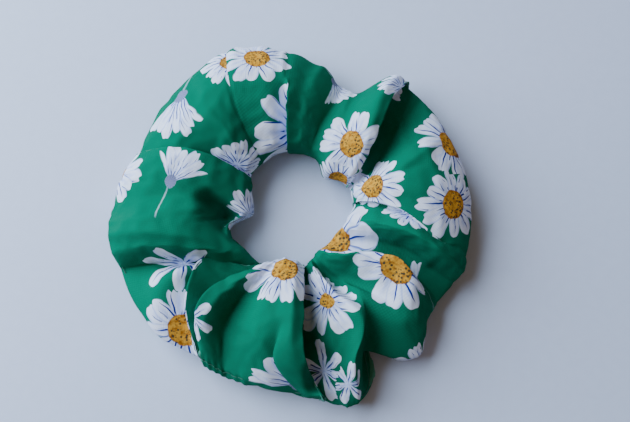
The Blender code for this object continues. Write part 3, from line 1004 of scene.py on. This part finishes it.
def side_blossom(tree, x, y, away, turn, soft, seed):
    """A fan of longer petals on a ribbed cup, with a stem, as a mask and a colour."""
    fan = abs(turn).share(0.135, 0.145)
    back = petal_row(tree, away, turn, seed, 11, 1.5, 0.25, first=0.5)
    front = petal_row(tree, away, turn, seed, 11, 1.38, 0.23)
    mask, tone = lay_rows(tree, (back, front), seed, soft, 1.5, 0.75)
    cup_x = (x - 0.03) / 0.24
    cup_y = y / 0.2
    cup_away = (cup_x * cup_x + cup_y * cup_y).calculate("SQRT") + soft * 0.3
    cup_mask = 1 - cup_away.share(0.9, 1.1)
    ribs = abs((turn * 17) % 1 - 0.5).share(0.3, 0.42)
    stem_bend = x * x * 0.16
    stem_length = (1 - x.share(-0.1, 0.0)) * x.share(-1.5, -1.35)
    stem_mask = (1 - abs(y + stem_bend).share(0.02, 0.045)) * stem_length * 0.6
    tone = mix(tree, stem_mask, tone, STEM)
    tone = mix(tree, cup_mask, tone, mix(tree, ribs * 0.6, CUP, STROKE))
    return (mask * (1 - fan)).most(cup_mask).most(stem_mask), tone


# %% The cloth's material
WEAVE = 0.36 * MM                # spacing of the threads


def parts_of(tree, uv_map):
    """The two parts of a UV map."""
    place = add_node(tree, "ShaderNodeUVMap", {"uv_map": uv_map})
    flat = add_node(tree, "ShaderNodeSeparateXYZ", {}, {0: Shade(place.outputs[0])})
    return Shade(flat.outputs[0]), Shade(flat.outputs[1])


def own_noise(tree, scale, detail):
    """Smooth noise from 0 to 1 through the whole piece."""
    body = add_node(tree, "ShaderNodeTexCoord")
    noise = add_node(tree, "ShaderNodeTexNoise", {}, {
        "Vector": Shade(body.outputs["Object"]), "Scale": scale, "Detail": detail})
    return Shade(noise.outputs["Fac"])


def printed_cotton():
    finish, tree, shader = new_finish("printed cotton", {
        "Roughness": 0.75, "Specular IOR Level": 0.02})
    plain_x, plain_y = parts_of(tree, "print")
    kind, number = parts_of(tree, "blossom")
    seed = number.calculate("ROUND")

    # A hand-drawn line wavers a little
    x = plain_x + wavering(tree, plain_x, plain_y, seed, 3.0) * 0.1
    y = plain_y + wavering(tree, plain_y, plain_x, seed + 3, 3.0) * 0.1
    away = (x * x + y * y).calculate("SQRT")
    turn = y.calculate("ARCTAN2", x) / (2 * math.pi)
    soft = wavering(tree, x, y, seed, 5.0, 3.0)

    open_mask, open_tone = open_blossom(tree, x, y, away, turn, soft, kind, seed)
    side_mask, side_tone = side_blossom(tree, x, y, away, turn, soft, seed)
    is_side = kind.share(1.4, 1.6)
    is_drawn = kind.share(0.2, 0.3)
    blossom = mix(tree, is_side, open_tone, side_tone)
    mask = (open_mask * (1 - is_side) + side_mask * is_side) * is_drawn

    # The dye takes unevenly, and every thread of the weave catches it a little differently
    threads_x = (plain_x * (BLOSSOM / WEAVE * math.pi)).calculate("SINE")
    threads_y = (plain_y * (BLOSSOM / WEAVE * math.pi)).calculate("SINE")
    weave = threads_x * threads_y
    fluff = own_noise(tree, 1400.0, 2.0)
    uneven = own_noise(tree, 60.0, 4.0) + weave * 0.25 + fluff * 0.5
    ground = mix(tree, (uneven - 0.25).most(0.0), GROUND, GROUND_DEEP)
    connect(shader, mix(tree, mask, ground, blossom), weave * 0.5 + fluff, 0.35, 0.12 * MM)
    return finish


def wrong_side():
    """The inside of the tube: the print shows through the cloth as a paler green."""
    finish, tree, shader = new_finish("cotton, wrong side", {"Roughness": 0.75})
    fibres = own_noise(tree, 900.0, 3.0)
    connect(shader, mix(tree, fibres, colour(70, 150, 124), colour(44, 120, 96)))
    return finish


cotton = printed_cotton()
cloth.data.materials.append(cotton)
cloth.data.materials.append(wrong_side())
print("printed cotton:", len(cotton.node_tree.nodes), "nodes")

# %% [markdown]
# ## The thickness of the cloth
#
# A Solidify modifier gives the cover its second surface, a little inside the first, in the
# material of the cloth's wrong side.

# %% Solidify
CLOTH_THICKNESS = 0.5 * MM
wall = cloth.modifiers.new("cloth thickness", "SOLIDIFY")
wall.thickness = CLOTH_THICKNESS
wall.offset = -1
wall.material_offset = 1
wall.material_offset_rim = 1

# %% [markdown]
# ## A section drawn along a path
#
# The threads and the elastic are long things of one section. A curve with a bevel would make
# them, but a bmesh lets every vertex keep its place along the path, and those places become a
# UV map in metres, so a twist or a plait follows the piece round every bend.

# %% The sweep
def station(path, number, up):
    """The frame of the section at one point of a path, with its own y kept near up."""
    ahead = path[min(number + 1, len(path) - 1)] - path[max(number - 1, 0)]
    forward = ahead.normalized()
    side = up.cross(forward).normalized()
    frame = Matrix((side, forward.cross(side), forward)).transposed().to_4x4()
    frame.translation = path[number]
    return frame


def sweep(name, path, section, up):
    """A closed solid: the section, a loop of flat points, drawn along the path."""
    body = bmesh.new()
    frame = station(path, 0, up)
    ring = [body.verts.new(frame @ Vector((x, y, 0))) for x, y in section]
    end = body.faces.new(ring)
    where = {vert: (0, corner) for corner, vert in enumerate(ring)}
    for number in range(1, len(path)):
        grown = bmesh.ops.extrude_face_region(body, geom=[end])["geom"]
        ring = [item for item in grown if isinstance(item, bmesh.types.BMVert)]
        end = next(item for item in grown if isinstance(item, bmesh.types.BMFace))
        following = station(path, number, up)
        bmesh.ops.transform(body, matrix=following @ frame.inverted(), verts=ring)
        frame = following
        back = frame.inverted()
        for vert in ring:
            spot = (back @ vert.co).xy
            where[vert] = (number, min(range(len(section)), key=lambda corner:
                                       (Vector(section[corner]) - spot).length))
    bmesh.ops.recalc_face_normals(body, faces=body.faces)

    along = np.cumsum([0] + [(path[number] - path[number - 1]).length
                             for number in range(1, len(path))])
    across = np.cumsum([0] + [(Vector(section[corner % len(section)])
                               - Vector(section[corner - 1])).length
                              for corner in range(1, len(section) + 1)])
    strip = body.loops.layers.uv.new("strip")
    for face in body.faces:
        corners = {where[vert][1] for vert in face.verts}
        for loop in face.loops:
            number, corner = where[loop.vert]
            if corner == 0 and len(section) - 1 in corners:
                corner = len(section)
            loop[strip].uv = (along[number], across[corner])
    mesh = bpy.data.meshes.new(name)
    body.to_mesh(mesh)
    body.free()
    mesh.shade_smooth()
    return shown(name, mesh)


def evenly(points, step):
    """Points a step apart along a line of points."""
    reach = np.cumsum([0] + [(points[index] - points[index - 1]).length
                             for index in range(1, len(points))])
    places = np.linspace(0, reach[-1], round(reach[-1] / step) + 1)
    axes = [np.interp(places, reach, [point[axis] for point in points]) for axis in range(3)]
    return [Vector(place) for place in zip(*axes)]


# %% [markdown]
# ## The sewing
#
# Three seams make the tie: one across the strip that makes it a ring, the long one along the
# rim that makes it a tube, and the closing stitches, the only ones sewn from outside. Lockstitch
# thread lies on the cloth for most of a stitch and dives into it at the needle's holes. The
# points come from the draped cloth, so the sewing follows each fold, and the nearest place on
# the finer mesh gives the direction in which to lift them off it.

# %% Stitch the seams
THREAD_RADIUS = 0.15 * MM
STITCH = 2.8 * MM
POINTS_PER_STITCH = 8
THREAD_SECTION = [(THREAD_RADIUS * math.cos(turn * math.pi / 3),
                   THREAD_RADIUS * math.sin(turn * math.pi / 3)) for turn in range(6)]
THREAD_INSIDE = -CLOTH_THICKNESS - THREAD_RADIUS - 0.1 * MM
CLOSING_LIFT, CLOSING_DIVE = 0.12 * MM, 0.4 * MM
CROSS_DIVE = 0.1 * MM
CROSS_AZIMUTH = math.radians(120)
UP = Vector((0, 0, 1))


def stitched(line, lift, dive):
    """A path on the cloth, lifted off it along each stitch and diving at the holes."""
    path = []
    for number, spot in enumerate(evenly(line, STITCH / POINTS_PER_STITCH)):
        place, normal, _, _ = cloth_tree.find_nearest(spot)
        share = number % POINTS_PER_STITCH / POINTS_PER_STITCH
        hole = max(0.0, 1 - 4 * min(share, 1 - share)) ** 2
        path.append(place + normal * (lift - dive * hole))
    return path


def drawn_line(columns, *points):
    """The draped cloth's place at a section point of each column, or the middle of several."""
    return [sum((draped[VERTEX_AT[column % COLUMNS, point % len(SECTION)]] for point in points),
                Vector()) / len(points) for column in columns]


def stitches_in(path):
    return round(len(path) / POINTS_PER_STITCH)


closing_line = stitched(drawn_line(CLOSING_COLUMNS, CLOSING_POINT), CLOSING_LIFT, CLOSING_DIVE)
rim_columns = range(CLOSING_COLUMNS[-1] + 1, CLOSING_COLUMNS[0] + COLUMNS)
rim_line = evenly(drawn_line(rim_columns, CLOSING_POINT, -2), STITCH / POINTS_PER_STITCH)
cross_line = stitched([draped[VERTEX_AT[FOLD_COLUMNS["cross seam"], point]]
                       for point in range(1, len(SECTION))], THREAD_INSIDE, CROSS_DIVE)
seam_way = Vector((-math.sin(CROSS_AZIMUTH), math.cos(CROSS_AZIMUTH), 0))
closing_stitches = sweep("closing_stitches", closing_line, THREAD_SECTION, UP)
rim_stitches = sweep("rim_stitches", rim_line, THREAD_SECTION, UP)
cross_stitches = sweep("cross_stitches", cross_line, THREAD_SECTION, seam_way)
print("stitches: closing", stitches_in(closing_line), "rim", stitches_in(rim_line),
      "across", stitches_in(cross_line))

# %% [markdown]
# ## The elastic
#
# Inside lies a strip of plaited elastic on edge, its two ends lapped and sewn together with a
# zigzag. Its section has shallow ribs, one for each rubber core, and it steps outwards by its
# own thickness where it laps over its start.

# %% Elastic and its join
ELASTIC_WIDTH = elastic_high.z - elastic_low.z
ELASTIC_THICKNESS = 1.0 * MM
ELASTIC_INSIDE = RING_CENTRE.x - elastic_low.x - ELASTIC_THICKNESS
ELASTIC_STEPS = 180
LAP_LENGTH = 12 * MM
LAP_GAP = 0.35 * MM
LAP_CLIMB = math.radians(20)     # over which the end steps out to pass over the start
RIBS = 5
RIB_DEPTH = 0.12 * MM
ZIGZAGS = 5
ZIGZAG_STEPS = 60
ZIGZAG_DIVE = 0.35 * MM


def elastic_section():
    """A flat loop of points: ribs up one face, then down the other."""
    rise = np.linspace(-0.5, 0.5, RIBS * 4 + 1)
    face = [(ELASTIC_THICKNESS / 2 - RIB_DEPTH * math.cos(math.pi * RIBS * (share + 0.5)) ** 2,
             share * ELASTIC_WIDTH) for share in rise]
    return face + [(-x, y) for x, y in reversed(face)]


def elastic_path():
    """Once round the ring and on over the start, by the length of the lap."""
    middle = ELASTIC_INSIDE + ELASTIC_THICKNESS / 2
    lap = LAP_LENGTH / middle
    path = []
    for angle in np.linspace(0, 2 * math.pi + lap, ELASTIC_STEPS + 1):
        out = smooth(min(1.0, max(0.0, (angle - 2 * math.pi + LAP_CLIMB) / LAP_CLIMB)))
        bend = middle + (ELASTIC_THICKNESS + LAP_GAP) * out
        path.append(Vector((RING_CENTRE.x + bend * math.cos(angle),
                            RING_CENTRE.y + bend * math.sin(angle),
                            (elastic_low.z + elastic_high.z) / 2)))
    return path


def zigzag_path():
    """The join's stitches, over the lap's outer face, diving at each turn of the zigzag."""
    reach = ELASTIC_INSIDE + 2 * ELASTIC_THICKNESS + LAP_GAP + THREAD_RADIUS
    lap = LAP_LENGTH / reach
    path = []
    for number in range(ZIGZAG_STEPS + 1):
        share = number / ZIGZAG_STEPS
        slant = abs(share * ZIGZAGS % 1 - 0.5) * 2
        dive = ZIGZAG_DIVE * abs(2 * slant - 1) ** 6
        angle = lap * (0.12 + 0.76 * share)
        path.append(Vector((RING_CENTRE.x + (reach - dive) * math.cos(angle),
                            RING_CENTRE.y + (reach - dive) * math.sin(angle),
                            elastic_low.z + ELASTIC_WIDTH * (0.2 + 0.6 * slant))))
    return path


elastic = sweep("elastic_loop", elastic_path(), elastic_section(), UP)
zigzag = sweep("join_zigzag", zigzag_path(), THREAD_SECTION, Vector((1, 0.2, 0)))
print("elastic round its middle", round(2 * math.pi * (ELASTIC_INSIDE / MM + 0.5)), "mm")


# %% Materials of the elastic and the threads
YARN = 0.55 * MM                 # spacing of the elastic's chevrons
PLY = 0.9 * MM                   # length in which a thread turns once


def plaited_elastic():
    """Yarns cross each rubber core in chevrons; the cores are ribs with painted shade between."""
    finish, tree, shader = new_finish("plaited elastic", {"Roughness": 0.85})
    along, across = parts_of(tree, "strip")
    core = abs(across / MM % 1 - 0.5)
    yarn = ((along / YARN + core * 2) * (2 * math.pi)).calculate("SINE")
    # The grooves between the cores sink in the bumps and are painted darker here, as shade.
    lowered = (core - 0.3).most(0.0) * 4
    shade = yarn * 0.2 + lowered * 0.5 + own_noise(tree, 350.0, 3.0) * 0.5
    connect(shader, mix(tree, shade, colour(232, 231, 225), colour(186, 184, 176)),
            yarn * 0.5 - lowered, 0.6, 0.08 * MM)
    return finish


def sewing_thread(name, light, dark):
    """Three plies of polyester, twisted round each other, with painted shade in their grooves."""
    finish, tree, shader = new_finish(name, {"Roughness": 0.5})
    along, across = parts_of(tree, "strip")
    round_thread = across / (6 * THREAD_RADIUS)
    ply = ((along / PLY + round_thread) * (3 * 2 * math.pi)).calculate("SINE")
    # Each ply is painted lighter on its crest and darker in the grooves, as light and shade.
    connect(shader, mix(tree, ply * 0.5 + 0.5, dark, light), ply, 0.7, 0.05 * MM)
    return finish


green_thread = sewing_thread("green sewing thread", colour(24, 112, 84), colour(4, 66, 46))
white_thread = sewing_thread("white sewing thread", colour(236, 235, 231), colour(196, 194, 188))
for piece, finish in ((closing_stitches, green_thread), (rim_stitches, green_thread),
                      (cross_stitches, green_thread), (zigzag, white_thread),
                      (elastic, plaited_elastic())):
    piece.data.materials.append(finish)
    print(piece.name, len(piece.data.polygons), "faces in", finish.name)

# %% [markdown]
# ## Table, light and camera
#
# The tie lies on a pale matt table beside a window: one large, cool and soft light from the
# left and a little behind, and the room's own weak, warm light from all round, which fills the
# folds. The camera looks down on the tie, a little from the front.

# %% Table
TABLE_REACH = 1.2                # from the middle to the table's edges


def pale_table():
    sheet = bmesh.new()
    bmesh.ops.create_grid(sheet, x_segments=1, y_segments=1, size=TABLE_REACH)
    mesh = bpy.data.meshes.new("table")
    sheet.to_mesh(mesh)
    sheet.free()
    finish, tree, shader = new_finish("pale table", {"Roughness": 0.5})
    grain = own_noise(tree, 300.0, 2.0)
    connect(shader, mix(tree, grain, colour(204, 213, 232), colour(197, 206, 226)))
    mesh.materials.append(finish)
    floor = shown("table", mesh)
    print(floor.name, "in", finish.name)


pale_table()

# %% Light
MIDDLE = Vector((0, 0, 0.01))
WINDOW_PLACE = Vector((-0.55, 0.27, 0.46))
WINDOW_SIZE = 0.85
WINDOW_POWER = 22                # in watts
WINDOW_TINT = (0.64, 0.79, 1)
ROOM_TINT = (1, 0.75, 0.6, 1)
ROOM_STRENGTH = 0.19

light = bpy.data.lights.new("window", "AREA")
light.size = WINDOW_SIZE
light.energy = WINDOW_POWER
light.color = WINDOW_TINT
window = bpy.data.objects.new("window", light)
bpy.context.scene.collection.objects.link(window)
window.location = WINDOW_PLACE
window.rotation_euler = (MIDDLE - WINDOW_PLACE).to_track_quat("-Z", "Y").to_euler()

room = bpy.data.worlds.new("room")
room.use_nodes = True
background = room.node_tree.nodes["Background"]
background.inputs["Color"].default_value = ROOM_TINT
background.inputs["Strength"].default_value = ROOM_STRENGTH
bpy.context.scene.world = room
print("window", round((MIDDLE - WINDOW_PLACE).length, 2), "m away")

# %% Camera
ELEVATION = math.radians(79)
DISTANCE = 0.2835
AIM = RING_CENTRE + Vector((5.2, -0.3, 10)) * MM
FOCAL_LENGTH = 50                # in mm, with the sensor
SENSOR_WIDTH = 36

lens = bpy.data.cameras.new("camera")
lens.lens = FOCAL_LENGTH
lens.sensor_width = SENSOR_WIDTH
camera = bpy.data.objects.new("camera", lens)
bpy.context.scene.collection.objects.link(camera)
camera.location = AIM + DISTANCE * Vector((0, -math.cos(ELEVATION), math.sin(ELEVATION)))
camera.rotation_euler = (AIM - camera.location).to_track_quat("-Z", "Y").to_euler()
bpy.context.scene.camera = camera
print("camera at", [round(value, 3) for value in camera.location])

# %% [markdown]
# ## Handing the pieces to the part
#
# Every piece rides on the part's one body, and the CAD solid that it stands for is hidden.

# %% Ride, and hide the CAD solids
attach(cloth, "root")
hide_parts("fabric_cover")
for piece, node, slot in ((elastic, "elastic_band", "elastic"),
                          (zigzag, "elastic_join_stitches", "white_thread"),
                          (rim_stitches, "long_seam_thread", "green_thread"),
                          (cross_stitches, "cross_seam_thread", "green_thread"),
                          (closing_stitches, "closing_topstitch", "green_thread")):
    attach(piece, "root")
    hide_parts(node)
